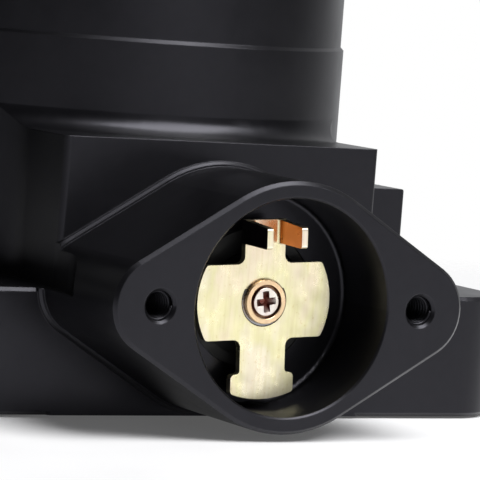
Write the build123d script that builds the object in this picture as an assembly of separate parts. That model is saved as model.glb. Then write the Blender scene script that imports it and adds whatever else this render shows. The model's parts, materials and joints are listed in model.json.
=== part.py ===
from build123d import *
import os
from math import cos, radians, sin

# Throttle body. Millimetres. +Z runs up along the air bore, the mounting face is z = 0,
# the throttle shaft lies along Y and the sensor side faces -Y.

# ---- driving dimensions -------------------------------------------------------------
BORE_R = 32.5                 # air bore
WALL = 4.45                   # barrel wall around the bore
BODY_H = 84.0                 # mounting face to inlet lip
SHAFT_Z = 17.8                # height of the shaft axis
SHAFT_R = 5.0
SENSOR_BOLT_SPACING = 40.0    # the two tapped holes of the position sensor
SENSOR_REACH = 64.8           # bore axis to the sensor face
SENSOR_RECESS_R = 14.75
SENSOR_RECESS_DEPTH = 11.75
FLANGE_T = 17.4
CLOSED_ANGLE = 6.0            # tilt of the closed plate
BEARING_R = 9.5
BEARING_W = 5.0

# ---- fits and small shared sizes ----------------------------------------------------
RUN = 0.05                    # running clearance on the radius
GAP = 0.3                     # free space between curved faces that don't fit together
EDGE = 0.5                    # machined edge break

# ---- worked out ---------------------------------------------------------------------
BARREL_R = BORE_R + WALL
TUBE_STEP = 0.45              # the inlet tube is turned slightly smaller above the step
TUBE_R = BARREL_R - TUBE_STEP
STEP_Z = SHAFT_Z + 33.3
FLANGE_BOLT_X = 2 * BORE_R + 18.0     # the bolt pattern and flange grow with the bore
FLANGE_BOLT_Y = 2 * BORE_R + 3.0
EAR_R = 9.0
FLANGE_HALF_X = FLANGE_BOLT_X / 2 + EAR_R
FLANGE_HALF_Y = FLANGE_BOLT_Y / 2 + EAR_R
FLANGE_BOLT_R = 3.4
BLOCK_HALF_X = 24.7
BLOCK_TOP = SHAFT_Z + 20.4
BLOCK_BLEND = 10.0            # milled corner between block side and barrel
ACCESS_FORWARD = 3.5          # how far the bolt access runs past the block face
COVE_R = 3.0                  # fillet where the tube meets the block top
SMALL_ROUND = 0.8             # broken upright corners of the blocks
BOSS_R = SENSOR_RECESS_R + 2.35
LOBE_R = 6.75
FOOT_RISE = 0.7               # raised foot round the sensor boss
MOUTH_EDGE = 0.25             # edge break of the recess mouth
SIDE_BLOCK_X = BARREL_R + 4.1
SIDE_BLOCK_HALF_Y = 24.5
SIDE_BLOCK_TOP = SHAFT_Z + 13.5
SIDE_NOTCH_HALF_Y = 19.0      # flange cut-out that clears the idle air cover

SENSOR_FACE = -SENSOR_REACH
SENSOR_FLOOR = SENSOR_FACE + SENSOR_RECESS_DEPTH
SENSOR_BOLT_R = 2.0
SENSOR_BOLT_DEPTH = 14.0
FLOOR_ROUND = 0.6             # fillet round the recess floor
POCKET_DEPTH = 8.0
FRONT_POCKET_END = SENSOR_FLOOR + POCKET_DEPTH

CABLE_BOSS_R = 12.5
CABLE_FACE = FLANGE_HALF_Y + 9.0
REAR_POCKET_END = CABLE_FACE - 10.0

LEVER_T = 1.1
LEVER_FRONT = SENSOR_FACE + 8.0
LEVER_BACK = LEVER_FRONT + LEVER_T
LEVER_TURN = 3.1              # the lever's resting turn about the shaft

SHOULDER_Y = CABLE_FACE + 1.5
STOP_LEVER_T = 2.5
HUB_Y = SHOULDER_Y + STOP_LEVER_T
QUADRANT_FRONT = HUB_Y + 2.0
QUADRANT_T = 5.5
WASHER_Y = QUADRANT_FRONT + QUADRANT_T
WASHER_T = 1.2
NUT_Y = WASHER_Y + WASHER_T
NUT_T = 5.0
DRIVE_R = 4.0                 # shaft end that carries the levers
DRIVE_FLAT = 3.0              # half the distance across its two flats
THREAD_R = 3.0

STOP_ARM_ANGLE = 100.0
STOP_SCREW_UP = 22.0          # idle stop screw above the shaft axis
STOP_SCREW_R = 2.0
STOP_NOSE_R = 1.2
FULL_OPEN = 84.0
STOP_PIN_ORBIT = 20.0
STOP_PIN_R = 2.5
SPRING_WIRE_R = 0.9
SPRING_R = CABLE_BOSS_R + 3.4

NIPPLE_Z = 30.0
IDLE_PORT_R = 2.5
IDLE_PORT_Z = (9.0, 26.2)
COVER_T = 2.5
GASKET_T = 0.8
COVER_SCREW_Y = 7.0
COVER_SCREW_Z = (7.5, 27.0)
COVER_SCREW_R = 2.0
COVER_HEAD_T = 3.0
COVER_MARGIN = 4.0            # cover edge beyond its screws

NIPPLE_ROOT_R = 3.0
HOSE_R = 2.6                  # hose spigot
HOSE_REACH = 12.0
HOSE_BORE_R = 1.6
ORING_R = BORE_R + 3.4        # centreline of the flange o-ring
ORING_CORD = 1.2              # cord radius
ORING_SEAT = 2.1              # groove depth

PLATE_T = 2.0
PLATE_SCREW_Y = 12.0
PLATE_SCREW_R = 1.5
PLATE_SCREW_SEAT = 3.2        # screw seat above the plate's middle
STOP_ARM_HALF = 3.0
SECTOR_R = 24.0
SECTOR_SPAN = (-30.0, 62.0)

STUB_R = 3.35                 # D-shaped shaft end inside the lever
STUB_FLAT = 1.65
STUB_PLAY = 0.1
ARM_REACH = 10.25
ARM_HALF = 5.15
FOOT_REACH = 13.4
NECK_HALF = 3.1
BEND_IN = 0.55                # inner bend radius of the fork tabs
FORK_TOP = 11.15
TAB_T = 0.9                   # fork tabs bent towards the sensor
TAB_REACH = 6.0
LEVER_SCREW_R = 1.25
LEVER_SCREW_HEAD_R = 1.95
CUP_R = 3.05
CUP_RIM_IN = 2.3
CUP_BASE = 0.15
CUP_H = 0.7


STANDING = (Align.CENTER, Align.CENTER, Align.MIN)


def shaft_plane(y):
    """Sketch plane across the shaft at y: local x is X, local y is up, centred on the shaft."""
    return Plane(origin=(0, y, SHAFT_Z), x_dir=(1, 0, 0), z_dir=(0, -1, 0))


def prism(sketch, y_near, y_far):
    """Sketch drawn about the shaft axis, extruded between two stations along Y."""
    return extrude(shaft_plane(y_far) * sketch, y_far - y_near)


def disc(radius, y_near, y_far, x=0.0, up=0.0):
    return prism(Pos(x, up) * Circle(radius), y_near, y_far)


def ring(outer, inner, y_near, y_far, x=0.0, up=0.0):
    return prism(Pos(x, up) * (Circle(outer) - Circle(inner)), y_near, y_far)


def taper(r_near, r_far, y_near, y_far, x=0.0, up=0.0):
    """Cone about a line parallel to the shaft."""
    cone = Cone(r_far, r_near, y_far - y_near, align=STANDING)
    return shaft_plane(y_far) * Pos(x, up, 0) * cone


def along_x(sketch, x_start, x_end):
    """Sketch with local x as Y and local y as Z, extruded from x_start to x_end."""
    plane = Plane(origin=(x_start, 0, 0), x_dir=(0, 1, 0), z_dir=(1, 0, 0))
    return extrude(plane * sketch, x_end - x_start)


def rod_x(radius, x_start, x_end, y, z):
    return along_x(Pos(y, z) * Circle(radius), x_start, x_end)


def rod_z(radius, z_low, z_high, x=0.0, y=0.0):
    return Pos(x, y, z_low) * Cylinder(radius, z_high - z_low, align=STANDING)


def box_between(x, y, z):
    """Box given as three (low, high) pairs."""
    size = [high - low for low, high in (x, y, z)]
    return Pos(x[0], y[0], z[0]) * Box(*size, align=(Align.MIN, Align.MIN, Align.MIN))


def at_angle(radius, angle):
    return radius * cos(radians(angle)), radius * sin(radians(angle))


def centre_turn(solid, angle):
    """Turn a solid about the shaft axis, positive as the throttle opens."""
    return solid.rotate(Axis((0, 0, SHAFT_Z), (0, -1, 0)), angle)


# ---- housing ------------------------------------------------------------------------
def lobe_outline(spacing, centre_r, lobe_r):
    """Two round lobes joined to a round centre by straight tangents."""
    shape = Circle(centre_r)
    for side in (-1, 1):
        centre = side * spacing / 2
        lean = (centre_r - lobe_r) / (spacing / 2)
        rise = (1 - lean * lean) ** 0.5
        big = (side * centre_r * lean, centre_r * rise)
        small = (centre + side * lobe_r * lean, lobe_r * rise)
        web = Polyline(big, small, (small[0], -small[1]), (big[0], -big[1]), close=True)
        shape += Pos(centre, 0) * Circle(lobe_r) + make_face(web)
    return shape


def block_outline():
    """Plan of the shaft block and barrel, with milled blends at the inner corners."""
    plan = Rectangle(2 * BLOCK_HALF_X, 2 * FLANGE_HALF_Y) + Circle(BARREL_R)
    inner = [v for v in plan.vertices() if abs(v.Y) < FLANGE_HALF_Y - 1 and abs(v.X) > BLOCK_HALF_X - 1]
    plan = fillet(inner, BLOCK_BLEND)
    outer = [v for v in plan.vertices() if abs(v.Y) > FLANGE_HALF_Y - 0.1]
    return fillet(outer, SMALL_ROUND)


def flange():
    """Rounded plate, notched at the sides between its bolt ears."""
    waist = SIDE_BLOCK_X - 0.5
    plan = RectangleRounded(2 * FLANGE_HALF_X, 2 * FLANGE_HALF_Y, EAR_R)
    notch = FLANGE_HALF_X - waist
    for side in (-1, 1):
        plan -= Pos(side * (waist + notch), 0) * Rectangle(2 * notch, 2 * SIDE_NOTCH_HALF_Y)
    nooks = [v for v in plan.vertices() if abs(v.Y) < SIDE_NOTCH_HALF_Y + 0.1 and abs(v.X) < waist + 0.1]
    plan = fillet(nooks, 3)
    plate = extrude(plan, FLANGE_T)
    plate = chamfer(plate.faces().sort_by(Axis.Z)[0].edges(), EDGE)
    return chamfer(plate.faces().sort_by(Axis.Z)[-1].edges(), EDGE)


def inlet_tube():
    lip = 1.0
    profile = Polyline(
        (0, FLANGE_T / 2), (BARREL_R, FLANGE_T / 2), (BARREL_R, STEP_Z), (TUBE_R, STEP_Z + TUBE_STEP),
        (TUBE_R, BODY_H - lip), (TUBE_R - lip, BODY_H), (0, BODY_H), close=True)
    return revolve(Plane.XZ * make_face(profile), Axis.Z)


def tube_cove():
    """Fillet ring where the tube meets the block top, kept to the block's own width."""
    foot = BARREL_R + COVE_R
    top = BLOCK_TOP + COVE_R
    sweep = CenterArc((foot, top), COVE_R, 180, 90)
    edge = Polyline((foot, BLOCK_TOP), (foot, BLOCK_TOP - 1), (BARREL_R - 1, BLOCK_TOP - 1),
                    (BARREL_R - 1, top), (BARREL_R, top))
    band = revolve(Plane.XZ * make_face([sweep, *edge.edges()]), Axis.Z)
    return band & extrude(block_outline(), top)


def sensor_boss():
    outline = lobe_outline(SENSOR_BOLT_SPACING, BOSS_R, LOBE_R)
    boss = prism(outline, SENSOR_FACE, -FLANGE_HALF_Y)
    return chamfer(boss.faces().sort_by(Axis.Y)[0].edges(), EDGE)


def boss_step():
    """Small raised foot round the boss where it meets the block and flange."""
    outline = offset(lobe_outline(SENSOR_BOLT_SPACING, BOSS_R, LOBE_R), FOOT_RISE)
    foot = prism(outline, -FLANGE_HALF_Y - FOOT_RISE, -FLANGE_HALF_Y + 1)
    foot = chamfer(foot.faces().sort_by(Axis.Y)[0].edges(), FOOT_RISE / 2)
    half = FLANGE_HALF_X - EAR_R
    return foot & box_between((-half, half), (-FLANGE_HALF_Y - 5, 0), (EDGE, BLOCK_TOP))


def bolt_access():
    """Upright slots that clear the flange bolts beside the sensor boss."""
    slots = Sketch()
    for side in (-1, 1):
        centre = Pos(side * (BLOCK_HALF_X + BLOCK_BLEND), -FLANGE_HALF_Y - ACCESS_FORWARD / 2)
        slots += centre * SlotCenterToCenter(ACCESS_FORWARD, 2 * BLOCK_BLEND, rotation=90)
    return Pos(0, 0, FLANGE_T) * extrude(slots, BLOCK_TOP)


def cut_sensor_side(body):
    recess = disc(SENSOR_RECESS_R, SENSOR_FACE - 1, SENSOR_FLOOR)
    body -= fillet(recess.faces().sort_by(Axis.Y)[-1].edges(), FLOOR_ROUND)
    mouth_r = SENSOR_RECESS_R + MOUTH_EDGE
    body -= taper(mouth_r, SENSOR_RECESS_R, SENSOR_FACE, SENSOR_FACE + MOUTH_EDGE)
    body -= disc(BEARING_R, SENSOR_FLOOR - 1, FRONT_POCKET_END)
    for side in (-1, 1):
        x = side * SENSOR_BOLT_SPACING / 2
        body -= disc(SENSOR_BOLT_R, SENSOR_FACE - 1, SENSOR_FACE + SENSOR_BOLT_DEPTH, x)
        body -= taper(SENSOR_BOLT_R + 0.4, SENSOR_BOLT_R, SENSOR_FACE, SENSOR_FACE + 0.4, x)
    return body


def cut_cable_side(body):
    body -= disc(BEARING_R, REAR_POCKET_END, CABLE_FACE + 1)
    body -= disc(BEARING_R + 0.5, CABLE_FACE - 2, CABLE_FACE - 0.9)
    x, up = stop_pin_place()
    body -= disc(STOP_PIN_R, FLANGE_HALF_Y - 8, FLANGE_HALF_Y + 1, x, up)
    x, up = spring_hook_place()
    body -= disc(SPRING_WIRE_R + GAP, FLANGE_HALF_Y - 6, FLANGE_HALF_Y + 1, x, up)
    return body


def stop_pin_place():
    """The stop arm's left flank meets this pin when the throttle is fully open."""
    return at_angle(STOP_PIN_ORBIT, STOP_ARM_ANGLE + FULL_OPEN + 16.2)


def spring_hook_place():
    return at_angle(SPRING_R, -120)


def idle_lug():
    """Lug on the back of the barrel that carries the idle stop screw."""
    z = SHAFT_Z + STOP_SCREW_UP
    lug = box_between((6, 14), (BORE_R + 2, HUB_Y - 0.2), (z - 4.8, z + 4.8))
    lug = chamfer(lug.edges().filter_by(Axis.Y), 1.2)
    return lug - rod_x(STOP_SCREW_R, 0, 20, stop_screw_y(), z)


def stop_screw_y():
    return SHOULDER_Y + STOP_LEVER_T / 2


def side_block():
    depth = (-SIDE_BLOCK_HALF_Y, SIDE_BLOCK_HALF_Y)
    block = box_between((BARREL_R - 14, SIDE_BLOCK_X), depth, (1, SIDE_BLOCK_TOP))
    upright = block.edges().filter_by(Axis.Z).sort_by(Axis.X)[-2:]
    top = block.edges().filter_by(Axis.Y).sort_by(Axis.Z)[-1]
    return fillet([*upright, top], SMALL_ROUND)


def throttle_housing():
    body = flange() + side_block() + extrude(block_outline(), BLOCK_TOP) + inlet_tube() + tube_cove()
    body += sensor_boss() + boss_step()
    body += disc(CABLE_BOSS_R, FLANGE_HALF_Y - 2, CABLE_FACE)
    body += rod_x(6.5, -BARREL_R - 2.5, -BARREL_R + 4, 0, NIPPLE_Z)
    body += idle_lug()
    body -= bolt_access()
    body -= rod_z(BORE_R, -1, BODY_H + 1)
    body -= Pos(0, 0, BODY_H - 1.5) * Cone(BORE_R, BORE_R + 2, 2, align=STANDING)
    body -= disc(SHAFT_R + 0.2, FRONT_POCKET_END - 1, REAR_POCKET_END + 1)
    body = cut_cable_side(cut_sensor_side(body))
    body -= GridLocations(FLANGE_BOLT_X, FLANGE_BOLT_Y, 2, 2) * rod_z(FLANGE_BOLT_R, -1, FLANGE_T + 1)
    groove_half = 1.5 * ORING_CORD
    body -= rod_z(ORING_R + groove_half, -1, ORING_SEAT) - rod_z(ORING_R - groove_half, -2, ORING_SEAT + 1)
    body -= rod_x(NIPPLE_ROOT_R, -BARREL_R - 3, -BORE_R + 5, 0, NIPPLE_Z)
    for z in IDLE_PORT_Z:
        body -= rod_x(IDLE_PORT_R, BORE_R - 5, SIDE_BLOCK_X + 1, 0, z)
    for y, z in cover_screw_places():
        body -= rod_x(COVER_SCREW_R, SIDE_BLOCK_X - 7, SIDE_BLOCK_X + 1, y, z)
    return body


# ---- fixed pieces -------------------------------------------------------------------
def cover_screw_places():
    return [(side * COVER_SCREW_Y, z) for side in (-1, 1) for z in COVER_SCREW_Z]


def bearing(y_near):
    y_far = y_near + BEARING_W
    body = ring(BEARING_R, SHAFT_R + RUN, y_near, y_far)
    for low, high in ((y_near, y_near + 0.4), (y_far - 0.4, y_far)):
        body -= ring(BEARING_R - 1.2, SHAFT_R + 1.3, low, high)
    return body


def shaft_seal(y_near, width):
    seal = ring(BEARING_R, SHAFT_R + RUN, y_near, y_near + width)
    return seal - ring(BEARING_R - 1.5, SHAFT_R + 1.2, y_near, y_near + 0.7)


def bearing_retaining_ring():
    groove_near = CABLE_FACE - 2
    clip = Circle(BEARING_R + 0.4) - Circle(BEARING_R - 1.8)
    clip -= Pos(0, BEARING_R) * Rectangle(5, 6)
    for side in (-1, 1):
        clip += Pos(side * 3.6, BEARING_R - 1.9) * (Circle(1.3) - Circle(0.6))
    return prism(clip, groove_near + 0.05, groove_near + 1.05)


def flange_oring():
    return Pos(0, 0, ORING_SEAT - ORING_CORD) * Torus(ORING_R, ORING_CORD)


def cover_outline():
    mid = sum(COVER_SCREW_Z) / 2
    tall = COVER_SCREW_Z[1] - COVER_SCREW_Z[0]
    width = 2 * (COVER_SCREW_Y + COVER_MARGIN)
    return Pos(0, mid) * RectangleRounded(width, tall + 2 * COVER_MARGIN - 0.6, 3.6)


def idle_air_gasket():
    sheet = along_x(cover_outline(), SIDE_BLOCK_X, SIDE_BLOCK_X + GASKET_T)
    for y, z in cover_screw_places():
        sheet -= rod_x(COVER_SCREW_R + GAP, 0, 2 * SIDE_BLOCK_X, y, z)
    low, high = IDLE_PORT_Z
    window = Pos(0, (low + high) / 2) * SlotOverall(high - low + 7, 7, rotation=90)
    return sheet - along_x(window, 0, 2 * SIDE_BLOCK_X)


def idle_air_cover():
    x = SIDE_BLOCK_X + GASKET_T
    plate = along_x(cover_outline(), x, x + COVER_T)
    plate = chamfer(plate.faces().sort_by(Axis.X)[-1].edges(), 0.6)
    low, high = IDLE_PORT_Z
    passage = Pos(0, (low + high) / 2) * SlotOverall(high - low + 5, 5, rotation=90)
    plate -= along_x(passage, x, x + 1.6)
    for y, z in cover_screw_places():
        plate -= rod_x(COVER_SCREW_R + GAP, 0, 2 * SIDE_BLOCK_X, y, z)
    return plate


def cap_screw_x(x_seat, length, y, z):
    """Socket cap screw along X: shank towards -X, head standing on x_seat."""
    head_r = 1.75 * COVER_SCREW_R
    screw = rod_x(COVER_SCREW_R - 0.03, x_seat - length, x_seat, y, z)
    head = rod_x(head_r, x_seat, x_seat + COVER_HEAD_T, y, z)
    head = chamfer(head.faces().sort_by(Axis.X)[-1].edges(), 0.4)
    socket = along_x(Pos(y, z) * RegularPolygon(1.7, 6), x_seat + 1.6, x_seat + 4)
    return screw + head - socket


def idle_air_cover_screws():
    seat = SIDE_BLOCK_X + GASKET_T + COVER_T
    return [cap_screw_x(seat, 9.5, y, z) for y, z in cover_screw_places()]


def vacuum_nipple():
    root = -BARREL_R + 2
    seat = -BARREL_R - 2.5
    nipple = rod_x(NIPPLE_ROOT_R, seat, root, 0, NIPPLE_Z)
    nipple += rod_x(4.2, seat - 1.5, seat, 0, NIPPLE_Z)
    spigot = rod_x(HOSE_R, seat - HOSE_REACH, seat, 0, NIPPLE_Z)
    nipple += chamfer(spigot.faces().sort_by(Axis.X)[0].edges(), 0.4)
    return nipple - rod_x(HOSE_BORE_R, seat - 20, root + 1, 0, NIPPLE_Z)


def idle_stop_tip_x():
    """Right flank of the stop arm where the lower rim of the screw's nose meets it."""
    arm = radians(STOP_ARM_ANGLE)
    return ((STOP_SCREW_UP - STOP_NOSE_R) * cos(arm) + STOP_ARM_HALF) / sin(arm)


def idle_stop_screw():
    z = SHAFT_Z + STOP_SCREW_UP
    y = stop_screw_y()
    tip = idle_stop_tip_x() + 0.02
    screw = rod_x(STOP_SCREW_R - 0.03, tip + 0.6, 24, y, z)
    nose = Cone(STOP_SCREW_R - 0.03, STOP_NOSE_R, 0.6, align=STANDING)
    screw += Plane(origin=(tip + 0.6, y, z), z_dir=(-1, 0, 0)) * nose
    socket = along_x(Pos(y, z) * RegularPolygon(1.15, 6), 22, 25)
    return screw - socket


def idle_stop_locknut():
    z = SHAFT_Z + STOP_SCREW_UP
    y = stop_screw_y()
    nut = along_x(Pos(y, z) * RegularPolygon(3.5, 6, major_radius=False), 14, 17.2)
    return nut - rod_x(STOP_SCREW_R, 13, 18, y, z)


def full_open_stop_pin():
    x, up = stop_pin_place()
    pin = disc(STOP_PIN_R, FLANGE_HALF_Y - 8, HUB_Y - 0.3, x, up)
    return chamfer(pin.faces().sort_by(Axis.Y)[-1].edges(), 0.4)


def spring_bush():
    start = FLANGE_HALF_Y + 0.2
    bush = ring(CABLE_BOSS_R + 1.6, CABLE_BOSS_R + 0.1, start, CABLE_FACE - 0.1)
    return bush + ring(CABLE_BOSS_R + 2.3, CABLE_BOSS_R + 0.1, start, start + 0.6)


def return_spring():
    """Close-wound torsion spring: one hook in the housing, one hook on the stop lever."""
    turns = 3
    pitch = 2 * SPRING_WIRE_R + 0.12
    start = FLANGE_HALF_Y + 2.2
    coil = Helix(pitch, turns * pitch, SPRING_R)
    section = Plane(origin=coil @ 0, z_dir=coil % 0) * Circle(SPRING_WIRE_R)
    wire = sweep(section, path=coil, is_frenet=True)
    turned = Plane(origin=(0, start, SHAFT_Z), x_dir=(*at_angle_xz(-120),), z_dir=(0, 1, 0)) * wire
    x, up = spring_hook_place()
    hook = disc(SPRING_WIRE_R, FLANGE_HALF_Y - 5, start, x, up)
    far = disc(SPRING_WIRE_R, start + turns * pitch, SHOULDER_Y - 0.3, x, up)
    return turned + hook + far


def at_angle_xz(angle):
    x, up = at_angle(1.0, angle)
    return x, 0.0, up


# ---- pieces that turn with the shaft -------------------------------------------------
def tilted(solid):
    """Lean a solid by the closed angle: the plate's +X edge rises."""
    return centre_turn(solid, CLOSED_ANGLE)


def throttle_plate():
    slab = box_between((-50, 50), (-50, 50), (SHAFT_Z - PLATE_T / 2, SHAFT_Z + PLATE_T / 2))
    plate = tilted(slab) & rod_z(BORE_R - RUN, -20, 60)
    for side in (-1, 1):
        plate -= tilted(rod_z(PLATE_SCREW_R + 0.1, 0, 40, 0, side * PLATE_SCREW_Y))
    return plate


def throttle_shaft():
    shaft = disc(SHAFT_R, LEVER_BACK, SHOULDER_Y)
    stub = Circle(STUB_R) - Pos(0, STUB_R + STUB_FLAT) * Rectangle(3 * STUB_R, 2 * STUB_R)
    shaft += centre_turn(prism(stub, LEVER_FRONT + 0.05, LEVER_BACK), LEVER_TURN)
    drive = Circle(DRIVE_R) & Rectangle(2 * DRIVE_FLAT, 3 * DRIVE_R)
    shaft += prism(drive, SHOULDER_Y, WASHER_Y - 0.1)
    shaft += disc(THREAD_R, WASHER_Y - 0.1, NUT_Y + NUT_T + 1.5)
    shaft -= disc(LEVER_SCREW_R, LEVER_FRONT - 1, LEVER_BACK + 8)
    thickness = (SHAFT_Z - PLATE_T / 2, SHAFT_Z + PLATE_T / 2)
    slot = box_between((-9, 9), (-BORE_R + RUN, BORE_R - RUN), thickness)
    shaft -= tilted(slot)
    for side in (-1, 1):
        y = side * PLATE_SCREW_Y
        shaft -= tilted(rod_z(PLATE_SCREW_R, SHAFT_Z - 9, SHAFT_Z + 9, 0, y))
        shaft -= tilted(rod_z(3.2, SHAFT_Z + PLATE_SCREW_SEAT, SHAFT_Z + 9, 0, y))
    return shaft


def throttle_plate_screws():
    screws = []
    for side in (-1, 1):
        y = side * PLATE_SCREW_Y
        seat = SHAFT_Z + PLATE_SCREW_SEAT
        screw = rod_z(PLATE_SCREW_R - 0.03, SHAFT_Z - 4.6, seat, 0, y)
        head = rod_z(2.9, seat, seat + 2.0, 0, y)
        head = fillet(head.faces().sort_by(Axis.Z)[-1].edges(), 0.8)
        head -= box_between((-0.4, 0.4), (y - 4, y + 4), (seat + 1.1, seat + 3))
        screws.append(tilted(screw + head))
    return screws


def lever_plan():
    """Cross with two broad arms, a footed lower arm and a neck that rises to the fork."""
    arms = Circle(ARM_REACH) & Rectangle(3 * ARM_REACH, 2 * ARM_HALF)
    leg = Pos(0, -FOOT_REACH / 2) * Rectangle(7.0, FOOT_REACH)
    foot = Pos(0, -FOOT_REACH + 1.2) * Rectangle(9.7, 4.6)
    lower = (leg + foot) & Circle(FOOT_REACH)
    neck = Pos(0, FORK_TOP / 2) * Rectangle(2 * NECK_HALF, FORK_TOP)
    return arms + lower + neck


def fork_tab(side):
    """Tab bent forward from one edge of the neck, a little narrower at its tip."""
    root = ((LEVER_BACK, FORK_TOP - 3.25), (LEVER_BACK, FORK_TOP))
    tip = ((LEVER_FRONT - TAB_REACH, FORK_TOP - 0.55), (LEVER_FRONT - TAB_REACH, FORK_TOP - 3.4))
    profile = Pos(0, SHAFT_Z) * make_face(Polyline(*root, *tip, close=True))
    inner, outer = sorted((side * NECK_HALF, side * (NECK_HALF - TAB_T)))
    tab = along_x(profile, inner, outer)
    ends = [e for e in tab.edges().filter_by(Axis.X) if e.center().Y < LEVER_FRONT - 1]
    return fillet(ends, 0.4)


def inner_bends(lever):
    """Upright edges where the fork tabs leave the neck, on the inside of the fork."""
    edges = lever.edges().filter_by(Axis.Z)
    x = NECK_HALF - TAB_T
    return [e for e in edges
            if abs(abs(e.center().X) - x) < 0.01 and abs(e.center().Y - LEVER_FRONT) < 0.01]


def tps_lever():
    """Stamped lever whose forked end drives the sensor."""
    plate = prism(lever_plan(), LEVER_FRONT, LEVER_BACK)
    corners = plate.edges().filter_by(Axis.Y)
    nooks = [e for e in corners
             if abs(abs(e.center().Z - SHAFT_Z) - ARM_HALF) < 0.01 and abs(e.center().X) < 4]
    plate = fillet(nooks, 1.1)
    corners = plate.edges().filter_by(Axis.Y)
    tips = [e for e in corners if abs(e.center().X) > 8 or e.center().Z < SHAFT_Z - FOOT_REACH + 4]
    plate = fillet(tips, 0.6)
    plate += fork_tab(-1) + fork_tab(1)
    plate = fillet(inner_bends(plate), BEND_IN)
    hole_r = STUB_R + STUB_PLAY
    flat = Pos(0, hole_r + STUB_FLAT + STUB_PLAY) * Rectangle(3 * hole_r, 2 * hole_r)
    plate -= prism(Circle(hole_r) - flat, LEVER_FRONT - 1, LEVER_BACK + 1)
    return centre_turn(plate, LEVER_TURN)


def lever_cup_washer():
    washer = ring(CUP_R, LEVER_SCREW_R + 0.05, LEVER_FRONT - CUP_BASE, LEVER_FRONT)
    washer += ring(CUP_R, CUP_RIM_IN, LEVER_FRONT - CUP_H, LEVER_FRONT)
    rim = washer.faces().sort_by(Axis.Y)[0].edges()
    return fillet(rim, 0.12)


def cross_recess(reach, depth, y_front):
    """Cross drive recess that narrows with depth."""
    slot = 0.95
    cross = Rectangle(2 * reach, slot) + Rectangle(slot, 2 * reach) + Circle(0.62)
    y_far = y_front + depth
    return prism(Rot(0, 0, 8) * cross, y_front - 1, y_far) & taper(reach + 0.9, 0.4, y_front - 1, y_far)


def lever_screw():
    seat = LEVER_FRONT - CUP_BASE
    front = LEVER_FRONT - CUP_H
    shank = disc(LEVER_SCREW_R - 0.03, seat, LEVER_BACK + 6)
    head = disc(LEVER_SCREW_HEAD_R, front, seat)
    head = fillet(head.faces().sort_by(Axis.Y)[0].edges(), 0.15)
    return shank + head - cross_recess(1.5, 1.2, front)


def drive_hole():
    """Two-flat hole that keys a lever to the shaft."""
    return Circle(DRIVE_R + RUN) & Rectangle(2 * (DRIVE_FLAT + RUN), 3 * DRIVE_R)


def stop_lever():
    hub = Circle(9.0)
    arm = Rot(0, 0, STOP_ARM_ANGLE) * Pos(12.5, 0) * Rectangle(25, 2 * STOP_ARM_HALF)
    plate = prism(hub + arm - drive_hole(), SHOULDER_Y, HUB_Y)
    hook_hole = Pos(*spring_hook_place()) * Circle(SPRING_WIRE_R + GAP)
    ear = Rot(0, 0, -120) * Pos(SPRING_R / 2 + 1.5, 0) * Rectangle(SPRING_R + 3, 6)
    return plate + prism(ear - Circle(8.5) - hook_hole, SHOULDER_Y, HUB_Y)


def cable_quadrant():
    """Grooved cable sector with a hub and a pocket for the cable's end barrel."""
    low, high = SECTOR_SPAN
    near, far = QUADRANT_FRONT, QUADRANT_FRONT + QUADRANT_T
    sweep_points = [at_angle(2 * SECTOR_R, low + (high - low) * i / 4) for i in range(5)]
    wedge = make_face(Polyline((0, 0), *sweep_points, close=True))
    sector = Circle(SECTOR_R) & wedge
    body = prism(sector + Circle(9.0), near, far)
    window = (Circle(SECTOR_R - 6) - Circle(11.5)) & (Rot(0, 0, 6) * make_face(Polyline(
        (0, 0), at_angle(40, low + 6), at_angle(40, 0), at_angle(40, high - 22), close=True)))
    body -= prism(window, near - 1, far + 1)
    body += disc(8.0, HUB_Y, near + 1)
    groove = Pos(0, (near + far) / 2, SHAFT_Z) * Rot(90, 0, 0) * Torus(SECTOR_R + 0.3, 1.6)
    body -= groove
    x, up = at_angle(SECTOR_R - 3.2, high - 9)
    body -= disc(2.2, near + 1.2, far + 1, x, up)
    body -= prism(drive_hole(), near - 10, far + 1)
    return body


def quadrant_washer():
    return ring(6.0, THREAD_R + 0.1, WASHER_Y, NUT_Y)


def quadrant_nut():
    nut = prism(RegularPolygon(5.0, 6, major_radius=False), NUT_Y, NUT_Y + NUT_T)
    cone = taper(8.0, 5.3, NUT_Y - 0.01, NUT_Y + NUT_T)
    return (nut & cone) - disc(THREAD_R + 0.02, NUT_Y - 1, NUT_Y + NUT_T + 1)


NODES = {
    "throttle_housing": throttle_housing,
    "tps_side_bearing": lambda: bearing(FRONT_POCKET_END - BEARING_W),
    "cable_side_bearing": lambda: bearing(REAR_POCKET_END),
    "tps_side_shaft_seal": lambda: shaft_seal(SENSOR_FLOOR + 0.2, 2.4),
    "cable_side_shaft_seal": lambda: shaft_seal(REAR_POCKET_END + BEARING_W + 0.3, 2.4),
    "bearing_retaining_ring": bearing_retaining_ring,
    "flange_oring": flange_oring,
    "idle_air_gasket": idle_air_gasket,
    "idle_air_cover": idle_air_cover,
    "idle_air_cover_screws": idle_air_cover_screws,
    "vacuum_nipple": vacuum_nipple,
    "idle_stop_screw": idle_stop_screw,
    "idle_stop_locknut": idle_stop_locknut,
    "full_open_stop_pin": full_open_stop_pin,
    "spring_bush": spring_bush,
    "return_spring": return_spring,
    "throttle_shaft": throttle_shaft,
    "throttle_plate": throttle_plate,
    "throttle_plate_screws": throttle_plate_screws,
    "tps_lever": tps_lever,
    "lever_cup_washer": lever_cup_washer,
    "lever_screw": lever_screw,
    "stop_lever": stop_lever,
    "cable_quadrant": cable_quadrant,
    "quadrant_washer": quadrant_washer,
    "quadrant_nut": quadrant_nut,
}

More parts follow.
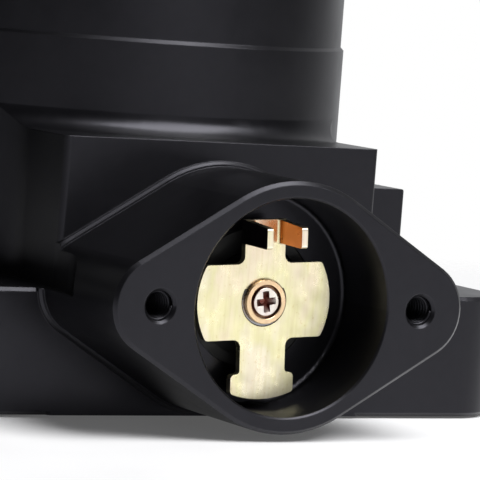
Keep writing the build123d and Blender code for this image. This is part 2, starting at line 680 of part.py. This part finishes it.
os.makedirs("parts", exist_ok=True)
for name, make in NODES.items():
    made = make()
    solids = made if isinstance(made, list) else made.solids()
    node = Compound(children=list(solids)) if len(solids) > 1 else solids[0]
    node.label = name
    export_step(node, f"parts/{name}.step")
    print(name, len(solids), round(sum(s.volume for s in solids), 1))
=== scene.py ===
import json
from math import cos, radians, sin, tau

import bmesh
import bpy
from mathutils import Matrix, Vector


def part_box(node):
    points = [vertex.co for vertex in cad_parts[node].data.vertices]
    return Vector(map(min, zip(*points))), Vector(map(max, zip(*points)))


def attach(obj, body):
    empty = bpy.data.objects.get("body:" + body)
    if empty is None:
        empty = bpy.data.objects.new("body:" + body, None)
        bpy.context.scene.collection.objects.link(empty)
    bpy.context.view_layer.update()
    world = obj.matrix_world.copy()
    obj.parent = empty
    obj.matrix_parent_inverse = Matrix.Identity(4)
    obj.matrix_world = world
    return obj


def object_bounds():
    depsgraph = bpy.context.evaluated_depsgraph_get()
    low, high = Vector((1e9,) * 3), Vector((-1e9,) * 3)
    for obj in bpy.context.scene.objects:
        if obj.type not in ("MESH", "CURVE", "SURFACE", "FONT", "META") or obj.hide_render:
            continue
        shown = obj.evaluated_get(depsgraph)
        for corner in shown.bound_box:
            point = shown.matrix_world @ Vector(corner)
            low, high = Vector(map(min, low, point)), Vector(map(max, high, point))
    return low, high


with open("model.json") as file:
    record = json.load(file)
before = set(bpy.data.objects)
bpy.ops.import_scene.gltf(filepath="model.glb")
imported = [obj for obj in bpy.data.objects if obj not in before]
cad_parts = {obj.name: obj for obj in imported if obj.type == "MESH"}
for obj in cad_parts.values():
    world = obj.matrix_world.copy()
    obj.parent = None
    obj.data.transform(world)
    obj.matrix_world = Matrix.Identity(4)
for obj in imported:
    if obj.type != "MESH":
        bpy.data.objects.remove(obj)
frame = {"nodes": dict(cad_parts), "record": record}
cad_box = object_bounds()
scene = bpy.context.scene
MM = 0.001
SHAFT_Z = 17.8 * MM           # height of the shaft and of the sensor holes


# ---- camera -----------------------------------------------------------------------------
CAMERA_PLACE = Vector((-237.36, -474.4, 65.6)) * MM
CAMERA_AZIMUTH = -29.15       # degrees from the sensor face's normal, negative towards -X
CAMERA_DROP = 4.73            # degrees below level
CAMERA_ROLL = 4.40            # degrees, the picture's up leans towards its right
CAMERA_LENS = 267.2           # millimetres, on a film of the width below
FILM_WIDTH = 36.0


def add_camera():
    """Long lens from the front left, a little above the shaft."""
    turn, drop = radians(CAMERA_AZIMUTH), radians(CAMERA_DROP)
    forward = -Vector((sin(turn) * cos(drop), -cos(turn) * cos(drop), sin(drop)))
    right = forward.cross(Vector((0, 0, 1))).normalized()
    up = right.cross(forward)
    roll = radians(CAMERA_ROLL)
    right, up = cos(roll) * right + sin(roll) * up, cos(roll) * up - sin(roll) * right
    data = bpy.data.cameras.new("camera")
    data.lens = CAMERA_LENS
    data.sensor_width = FILM_WIDTH
    data.clip_start = 0.01
    camera = bpy.data.objects.new("camera", data)
    scene.collection.objects.link(camera)
    axes = Matrix((right, up, -forward)).transposed().to_4x4()
    camera.matrix_world = Matrix.Translation(CAMERA_PLACE) @ axes
    scene.camera = camera


# ---- node helpers -----------------------------------------------------------------------
BEVEL_SAMPLES = 4
OCCLUSION_SAMPLES = 8


def add_node(tree, kind, **inputs):
    """New node with input values given by name, underscores standing for spaces."""
    made = tree.nodes.new(kind)
    for key, value in inputs.items():
        made.inputs[key.replace("_", " ")].default_value = value
    return made


class Shader:
    """A Principled material with object-space texture helpers."""

    def __init__(self, name, colour, metallic=0.0, roughness=0.4):
        self.material = bpy.data.materials.new(name)
        self.material.use_nodes = True
        self.tree = self.material.node_tree
        self.principled = self.tree.nodes["Principled BSDF"]
        self.set("Base Color", (*colour, 1.0))
        self.set("Metallic", metallic)
        self.set("Roughness", roughness)
        self.place = self.node("ShaderNodeTexCoord").outputs["Object"]
        self.normal = None

    def node(self, kind, **inputs):
        return add_node(self.tree, kind, **inputs)

    def link(self, source, target):
        self.tree.links.new(source, target)

    def set(self, socket, value):
        self.principled.inputs[socket].default_value = value

    def noise(self, scale, detail, stretch=(1, 1, 1)):
        """Noise of scale features a metre, drawn out along the axes whose stretch is small."""
        mapping = self.node("ShaderNodeMapping", Scale=stretch)
        self.link(self.place, mapping.inputs["Vector"])
        made = self.node("ShaderNodeTexNoise", Scale=scale, Detail=detail)
        self.link(mapping.outputs["Vector"], made.inputs["Vector"])
        return made.outputs["Fac"]

    def ramp(self, source, stops):
        """Colour by source, through stops of (place, colour)."""
        made = self.node("ShaderNodeValToRGB")
        elements = made.color_ramp.elements
        while len(elements) < len(stops):
            elements.new(0.5)
        for element, (place, colour) in zip(elements, stops):
            element.position = place
            element.color = (*colour, 1.0)
        self.link(source, made.inputs["Fac"])
        return made.outputs["Color"]

    def spread(self, source, low, high, start=0.3, end=0.7):
        """Low to high as source goes from start to end."""
        made = self.node("ShaderNodeMapRange", From_Min=start, From_Max=end, To_Min=low, To_Max=high)
        self.link(source, made.inputs["Value"])
        return made.outputs["Result"]

    def mix(self, first, second, amount):
        made = self.tree.nodes.new("ShaderNodeMix")
        made.data_type = "RGBA"
        self.link(first, made.inputs["A"])
        self.link(second, made.inputs["B"])
        self.link(amount, made.inputs["Factor"])
        return made.outputs["Result"]

    def bump(self, source, strength, depth):
        """Relief by source, on top of what shapes the normal already."""
        made = self.node("ShaderNodeBump", Strength=strength, Distance=depth)
        self.link(source, made.inputs["Height"])
        if self.normal:
            self.link(self.normal, made.inputs["Normal"])
        self.normal = made.outputs["Normal"]
        self.link(self.normal, self.principled.inputs["Normal"])

    def bevelled(self, radius):
        made = self.node("ShaderNodeBevel", Radius=radius)
        made.samples = BEVEL_SAMPLES
        return made.outputs["Normal"]

    def round_edges(self, radius):
        self.normal = self.bevelled(radius)
        self.link(self.normal, self.principled.inputs["Normal"])

    def colour(self, source):
        self.link(source, self.principled.inputs["Base Color"])

    def roughness(self, source):
        self.link(source, self.principled.inputs["Roughness"])

    def edges(self, radius, start=0.985, end=0.85):
        """1 on sharp edges and 0 on flat faces, from how far a bevel would turn the normal."""
        facing = self.node("ShaderNodeVectorMath")
        facing.operation = "DOT_PRODUCT"
        self.link(self.bevelled(radius), facing.inputs[0])
        self.link(self.node("ShaderNodeNewGeometry").outputs["Normal"], facing.inputs[1])
        return self.spread(facing.outputs["Value"], 0.0, 1.0, start, end)

    def times(self, first, second):
        made = self.tree.nodes.new("ShaderNodeMath")
        made.operation = "MULTIPLY"
        self.link(first, made.inputs[0])
        self.link(second, made.inputs[1])
        return made.outputs["Value"]

    def multiply(self, first, second):
        made = self.tree.nodes.new("ShaderNodeMix")
        made.data_type = "RGBA"
        made.blend_type = "MULTIPLY"
        made.inputs["Factor"].default_value = 1.0
        self.link(first, made.inputs["A"])
        self.link(second, made.inputs["B"])
        return made.outputs["Result"]

    def axis_of(self, vector, axis):
        parts = self.node("ShaderNodeSeparateXYZ")
        self.link(vector, parts.inputs[0])
        return parts.outputs[axis]

    def facing_sideways(self, lowest):
        """1 on faces that look towards -X and stand higher than lowest, 0 elsewhere."""
        normal = self.node("ShaderNodeTexCoord").outputs["Normal"]
        sideways = self.spread(self.axis_of(normal, "X"), 0.0, 1.0, -0.55, -0.85)
        height = self.axis_of(self.place, "Z")
        return self.times(sideways, self.spread(height, 0.0, 1.0, lowest, lowest + 0.8 * MM))

    def fill(self, colour):
        made = self.tree.nodes.new("ShaderNodeRGB")
        made.outputs[0].default_value = (*colour, 1.0)
        return made.outputs[0]

    def crevices(self, reach, start=0.35, end=0.85):
        """1 in narrow gaps and pockets, 0 in the open, from ambient occlusion; the mask for painted
        shade.
        """
        shade = self.node("ShaderNodeAmbientOcclusion", Distance=reach)
        shade.samples = OCCLUSION_SAMPLES
        return self.spread(shade.outputs["AO"], 1.0, 0.0, start, end)


# ---- materials --------------------------------------------------------------------------
DYE = (0.003, 0.003, 0.0036)
DYE_TONES = [(0.3, (0.0022, 0.0022, 0.0027)), (0.7, (0.0040, 0.0039, 0.0046))]
# painted highlight: lighter grey laid on sharp edges in place of their reflections
EDGE_HIGHLIGHT = (0.035, 0.035, 0.038)
SEAL_COAT_IOR = 1.42
COOL_SHEEN = (0.88, 0.87, 1.0, 1.0)


def anodised(name):
    """Satin black anodised billet: turning lines, etched grain and a painted highlight, a lighter
    grey, in patches along sharp edges.
    """
    s = Shader(name, DYE, 0.0, 0.33)
    s.set("IOR", SEAL_COAT_IOR)
    s.set("Specular Tint", COOL_SHEEN)
    s.round_edges(0.22 * MM)
    s.bump(s.noise(2600, 3, (0.05, 0.05, 1)), 0.10, 0.010 * MM)
    s.bump(s.noise(6500, 2), 0.16, 0.008 * MM)
    s.roughness(s.spread(s.noise(110, 4), 0.29, 0.36))
    tone = s.ramp(s.noise(700, 4), DYE_TONES)
    # painted highlight on the sharp edges, in patches
    edge_highlight = s.times(s.edges(0.18 * MM), s.spread(s.noise(900, 4), 0.15, 1.0))
    s.colour(s.mix(tone, s.fill(EDGE_HIGHLIGHT), edge_highlight))
    return s.material


def bare_metal(name, dark, light, rough, grain=(1, 1, 1)):
    """Plain metal with fine lines, drawn out along the axes whose grain is small, and painted shade
    in its gaps.
    """
    s = Shader(name, light, 1.0, rough)
    s.round_edges(0.12 * MM)
    lines = s.noise(2600, 3, grain)
    s.bump(lines, 0.12, 0.015 * MM)
    s.roughness(s.spread(lines, rough * 0.8, rough * 1.25))
    tone = s.ramp(s.noise(260, 5), [(0.3, dark), (0.7, light)])
    # painted shade: a quarter of the dark tone laid into gaps and pockets found by ambient occlusion
    s.colour(s.mix(tone, s.fill([0.25 * c for c in dark]), s.crevices(0.6 * MM)))
    return s.material


STREAKS = [(0.3, (0.93, 0.92, 0.86)), (0.6, (1, 1, 1))]
SPECKS = [(0.26, (0.90, 0.85, 0.74)), (0.36, (1, 1, 1))]
COPPER = (0.62, 0.20, 0.045)
# painted shade for the outer left faces of the fork tabs
SIDE_SHADE = (0.02, 0.016, 0.014)
FORK_FOOT = SHAFT_Z + 7 * MM  # the fork tabs stand above this height


def iridescent_zinc(name, stops, rough=0.3, scale=170, side_tint=None, gap_shade=(0.10, 0.03, 0.012),
                    gap=0.5 * MM, gap_tone=(0.35, 0.85)):
    """Chromate film over zinc: drifting tints, drawn streaks, specks, and painted shade in the gaps.

    side_tint colours the inner left face of the fork, and the outer left face gets painted shade, a
    near-black colour.
    """
    s = Shader(name, stops[0][1], 1.0, rough)
    s.round_edges(0.1 * MM)
    patches = s.ramp(s.noise(scale, 5, (1, 1, 0.45)), stops)
    streaks = s.ramp(s.noise(2400, 3, (1, 1, 0.08)), STREAKS)
    specks = s.ramp(s.noise(2100, 3), SPECKS)
    tone = s.multiply(s.multiply(patches, streaks), specks)
    if side_tint:
        # painted shade on the outer left faces, copper tint on the inner ones
        inside = s.spread(s.axis_of(s.place, "X"), 0.0, 1.0, -0.5 * MM, 0.5 * MM)
        side_shade_and_copper = s.mix(s.fill(SIDE_SHADE), s.fill(side_tint), inside)
        tone = s.mix(tone, side_shade_and_copper, s.facing_sideways(FORK_FOOT))
    # painted shade: a dark colour laid into gaps and pockets found by ambient occlusion
    s.colour(s.mix(tone, s.fill(gap_shade), s.crevices(gap, *gap_tone)))
    s.bump(s.noise(3200, 3), 0.12, 0.010 * MM)
    s.roughness(s.spread(s.noise(500, 4), rough * 0.8, rough * 1.3))
    return s.material


def rubber(name):
    """Matt black seal rubber with a fine mottle."""
    s = Shader(name, (0.02, 0.02, 0.02), 0.0, 0.6)
    s.bump(s.noise(3000, 4), 0.3, 0.02 * MM)
    s.roughness(s.spread(s.noise(600, 3), 0.5, 0.72))
    s.colour(s.ramp(s.noise(300, 3), [(0.3, (0.014, 0.014, 0.014)), (0.7, (0.03, 0.03, 0.03))]))
    return s.material


def moulded(name, dark, light):
    """Moulded or pressed sheet stuff with a grainy skin."""
    s = Shader(name, light, 0.0, 0.5)
    s.round_edges(0.1 * MM)
    s.bump(s.noise(2200, 4), 0.25, 0.02 * MM)
    s.roughness(s.spread(s.noise(500, 3), 0.42, 0.62))
    s.colour(s.ramp(s.noise(350, 5), [(0.3, dark), (0.7, light)]))
    return s.material


def dark_oxide(name):
    """Black oxide steel, rubbed bright in patches along its edges."""
    s = Shader(name, (0.03, 0.03, 0.033), 0.6, 0.4)
    s.round_edges(0.12 * MM)
    s.bump(s.noise(2600, 3), 0.2, 0.015 * MM)
    s.roughness(s.spread(s.noise(500, 3), 0.34, 0.52))
    tone = s.ramp(s.noise(400, 4), [(0.3, (0.014, 0.014, 0.016)), (0.7, (0.03, 0.03, 0.034))])
    s.colour(s.mix(tone, s.fill((0.22, 0.22, 0.22)), s.times(s.edges(0.15 * MM), s.noise(900, 2))))
    return s.material


YELLOW = [(0.25, (1.0, 0.86, 0.71)), (0.42, (1.0, 0.92, 0.69)), (0.52, (0.96, 0.90, 0.55)),
          (0.62, (1.0, 0.89, 0.65)), (0.76, (1.0, 0.82, 0.66))]
TAN = [(0.3, (0.86, 0.58, 0.36)), (0.5, (0.95, 0.70, 0.44)), (0.7, (0.90, 0.62, 0.42))]
PALE = [(0.3, (0.93, 0.80, 0.74)), (0.5, (0.96, 0.90, 0.84)), (0.7, (0.90, 0.72, 0.68))]
ZINC = [(0.3, (0.55, 0.56, 0.58)), (0.5, (0.66, 0.67, 0.68)), (0.7, (0.6, 0.62, 0.66))]

MATERIALS = {
    "black_anodised": anodised("black_anodised"),
    "bearing_steel": bare_metal("bearing_steel", (0.42, 0.42, 0.43), (0.58, 0.58, 0.59), 0.28,
                                (1, 12, 1)),
    "seal_rubber": rubber("seal_rubber"),
    "spring_steel": bare_metal("spring_steel", (0.16, 0.16, 0.17), (0.3, 0.3, 0.31), 0.32),
    "gasket_fibre": moulded("gasket_fibre", (0.10, 0.09, 0.075), (0.2, 0.18, 0.15)),
    "dark_steel": dark_oxide("dark_steel"),
    "bush_plastic": moulded("bush_plastic", (0.62, 0.59, 0.5), (0.76, 0.74, 0.66)),
    "shaft_steel": bare_metal("shaft_steel", (0.40, 0.40, 0.41), (0.56, 0.56, 0.56), 0.25,
                              (1, 0.1, 1)),
    "plate_brass": bare_metal("plate_brass", (0.5, 0.37, 0.17), (0.7, 0.54, 0.29), 0.35, (0.1, 1, 1)),
    # the dark colours given for the gaps of the zinc finishes are painted shade
    "zinc_steel": iridescent_zinc("zinc_steel", ZINC, 0.34, gap_shade=(0.12, 0.12, 0.12)),
    "yellow_zinc": iridescent_zinc("yellow_zinc", YELLOW, 0.3, side_tint=COPPER),
    "tan_zinc": iridescent_zinc("tan_zinc", TAN, 0.28, 400, gap_shade=(0.08, 0.02, 0.008),
                                gap=0.8 * MM),
    "pale_zinc": iridescent_zinc("pale_zinc", PALE, 0.3, 500, gap_shade=(0.20, 0.035, 0.02),
                                 gap=1.3 * MM, gap_tone=(0.60, 0.97)),
}


def dress_cad_nodes():
    for entry in frame["record"]["subparts"]:
        piece = frame["nodes"][entry["node"]]
        piece.data.materials.clear()
        piece.data.materials.append(MATERIALS[entry["material_slot"]])


# ---- pieces added to the frame ----------------------------------------------------------
SENSOR_HOLE_X = 20 * MM
THREAD_START = 0.75 * MM      # below the sensor face
THREAD_ROOT = 1.99 * MM       # in the hole's wall
THREAD_CREST = 1.68 * MM
THREAD_PITCH = 0.7 * MM
THREAD_TURNS = 17
RIDGE_FOOT = 0.46             # half widths of the ridge, in pitches
RIDGE_TIP = 0.06
RIDGE_STEPS = 40              # sections a turn


def new_piece(name, mesh_maker, slot, body):
    """Build a smooth mesh piece with its material slot and make it ride on a body."""
    mesh = bpy.data.meshes.new(name)
    shape = bmesh.new()
    mesh_maker(shape)
    bmesh.ops.recalc_face_normals(shape, faces=shape.faces)
    shape.to_mesh(mesh)
    shape.free()
    for face in mesh.polygons:
        face.use_smooth = True
    piece = bpy.data.objects.new(name, mesh)
    scene.collection.objects.link(piece)
    mesh.materials.append(MATERIALS[slot])
    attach(piece, body)


def thread_ridge(shape, centre):
    """Ridge carried round the +Y axis from centre along a helix, closed at both ends."""
    axis = Vector((0, 1, 0))
    across = Vector((1, 0, 0))
    other = axis.cross(across)
    corners = ((THREAD_ROOT, -RIDGE_FOOT), (THREAD_CREST, -RIDGE_TIP),
               (THREAD_CREST, RIDGE_TIP), (THREAD_ROOT, RIDGE_FOOT))
    rings = []
    for i in range(THREAD_TURNS * RIDGE_STEPS + 1):
        angle = tau * i / RIDGE_STEPS
        out = across * cos(angle) + other * sin(angle)
        base = centre + axis * THREAD_PITCH * i / RIDGE_STEPS
        section = [base + out * r + axis * THREAD_PITCH * lift for r, lift in corners]
        rings.append([shape.verts.new(place) for place in section])
    for low, high in zip(rings, rings[1:]):
        for k in range(4):
            n = (k + 1) % 4
            shape.faces.new((low[k], low[n], high[n], high[k]))
    shape.faces.new(rings[0])
    shape.faces.new(rings[-1])


def sensor_hole_threads():
    """Thread ridges on the walls of the two sensor bolt holes."""
    face_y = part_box("throttle_housing")[0].y
    for side, word in ((-1, "left"), (1, "right")):
        centre = Vector((side * SENSOR_HOLE_X, face_y + THREAD_START, SHAFT_Z))
        new_piece(f"sensor_thread_{word}", lambda shape: thread_ridge(shape, centre),
                  "black_anodised", "body")


# ---- stage ------------------------------------------------------------------------------
FLOOR_REACH = 0.40            # metres of white sheet before it melts into the backdrop
FLOOR_FADE = 0.10
FLOOR_FORWARD = 0.27          # its middle lies this far in front of the part
FLOOR_GLOW = 0.09             # light of its own, lifts the shadows on it
FLOOR_GAP = 0.05 * MM         # below the mounting face


def floor_material():
    """White sheet whose rim fades into the white backdrop."""
    s = Shader("floor_white", (0.93, 0.93, 0.94), 0.0, 0.5)
    s.roughness(s.spread(s.noise(40, 3), 0.45, 0.55))
    s.set("Emission Color", (1, 1, 1, 1))
    s.set("Emission Strength", FLOOR_GLOW)
    distance = s.node("ShaderNodeVectorMath")
    distance.operation = "LENGTH"
    s.link(s.place, distance.inputs[0])
    rim = s.spread(distance.outputs["Value"], 0.0, 1.0, FLOOR_REACH, FLOOR_REACH + FLOOR_FADE)
    clear = s.tree.nodes.new("ShaderNodeBsdfTransparent")
    blend = s.tree.nodes.new("ShaderNodeMixShader")
    s.link(rim, blend.inputs[0])
    s.link(s.principled.outputs[0], blend.inputs[1])
    s.link(clear.outputs[0], blend.inputs[2])
    s.link(blend.outputs[0], s.tree.nodes["Material Output"].inputs["Surface"])
    return s.material


def add_floor():
    """Square sheet under the part, wide enough for its faded rim."""
    size = FLOOR_REACH + 2 * FLOOR_FADE
    mesh = bpy.data.meshes.new("floor")
    corners = [(-size, -size, 0), (size, -size, 0), (size, size, 0), (-size, size, 0)]
    mesh.from_pydata(corners, [], [(0, 1, 2, 3)])
    floor = bpy.data.objects.new("floor", mesh)
    scene.collection.objects.link(floor)
    mesh.materials.append(floor_material())
    floor.location = (0, -FLOOR_FORWARD, min(corner[2] for corner in cad_box) - FLOOR_GAP)


KEY_PLACE = Vector((0.24, -0.42, 0.72))
KEY_TARGET = Vector((0, -0.03, 0.03))
KEY_SIDE = 0.62
KEY_POWER = 10.6


def add_key_light():
    """Soft square lamp above the front right."""
    data = bpy.data.lights.new("key", "AREA")
    data.shape = "RECTANGLE"
    data.size = KEY_SIDE
    data.size_y = KEY_SIDE
    data.energy = KEY_POWER
    lamp = bpy.data.objects.new("key", data)
    scene.collection.objects.link(lamp)
    lamp.location = KEY_PLACE
    lamp.rotation_euler = (KEY_TARGET - KEY_PLACE).to_track_quat("-Z", "Y").to_euler()


REAR_AZIMUTH = 143.0          # bright part of the backdrop, in degrees like the camera's azimuth
REAR = 0.65
GLOW_AZIMUTH = 13.0           # soft glow of the room in front
GLOW = 0.57
ROOM = 0.03                   # the rest of the room
ROOM_TINT = (0.97, 0.98, 1.0, 1.0)


def add_world():
    """Plain white where it is seen itself; the part mirrors a dim room with two bright sides."""
    world = bpy.data.worlds.new("studio")
    scene.world = world
    world.use_nodes = True
    tree = world.node_tree
    link = tree.links.new
    direction = tree.nodes.new("ShaderNodeTexCoord").outputs["Generated"]

    def toward(azimuth):
        """Cosine of the angle between a direction and a level azimuth."""
        dot = tree.nodes.new("ShaderNodeVectorMath")
        dot.operation = "DOT_PRODUCT"
        dot.inputs[1].default_value = (sin(radians(azimuth)), -cos(radians(azimuth)), 0.0)
        link(direction, dot.inputs[0])
        return dot.outputs["Value"]

    def side(azimuth, start, end, low, high):
        """Low to high as directions come round to an azimuth."""
        made = add_node(tree, "ShaderNodeMapRange", From_Min=start, From_Max=end, To_Min=low,
                        To_Max=high)
        link(toward(azimuth), made.inputs["Value"])
        return made.outputs["Result"]

    both = tree.nodes.new("ShaderNodeMath")
    link(side(REAR_AZIMUTH, 0.45, 0.97, 0.0, REAR), both.inputs[0])
    link(side(GLOW_AZIMUTH, 0.86, 1.0, ROOM, GLOW), both.inputs[1])
    room = tree.nodes["Background"]
    link(both.outputs["Value"], room.inputs["Strength"])
    room.inputs["Color"].default_value = ROOM_TINT
    backdrop = add_node(tree, "ShaderNodeBackground", Color=(1, 1, 1, 1), Strength=1.0)
    seen = tree.nodes.new("ShaderNodeLightPath").outputs["Is Camera Ray"]
    blend = tree.nodes.new("ShaderNodeMixShader")
    link(seen, blend.inputs[0])
    link(room.outputs[0], blend.inputs[1])
    link(backdrop.outputs[0], blend.inputs[2])
    link(blend.outputs[0], tree.nodes["World Output"].inputs["Surface"])


add_camera()
dress_cad_nodes()
sensor_hole_threads()
add_floor()
add_world()
add_key_light()
scene.view_settings.view_transform = "Standard"
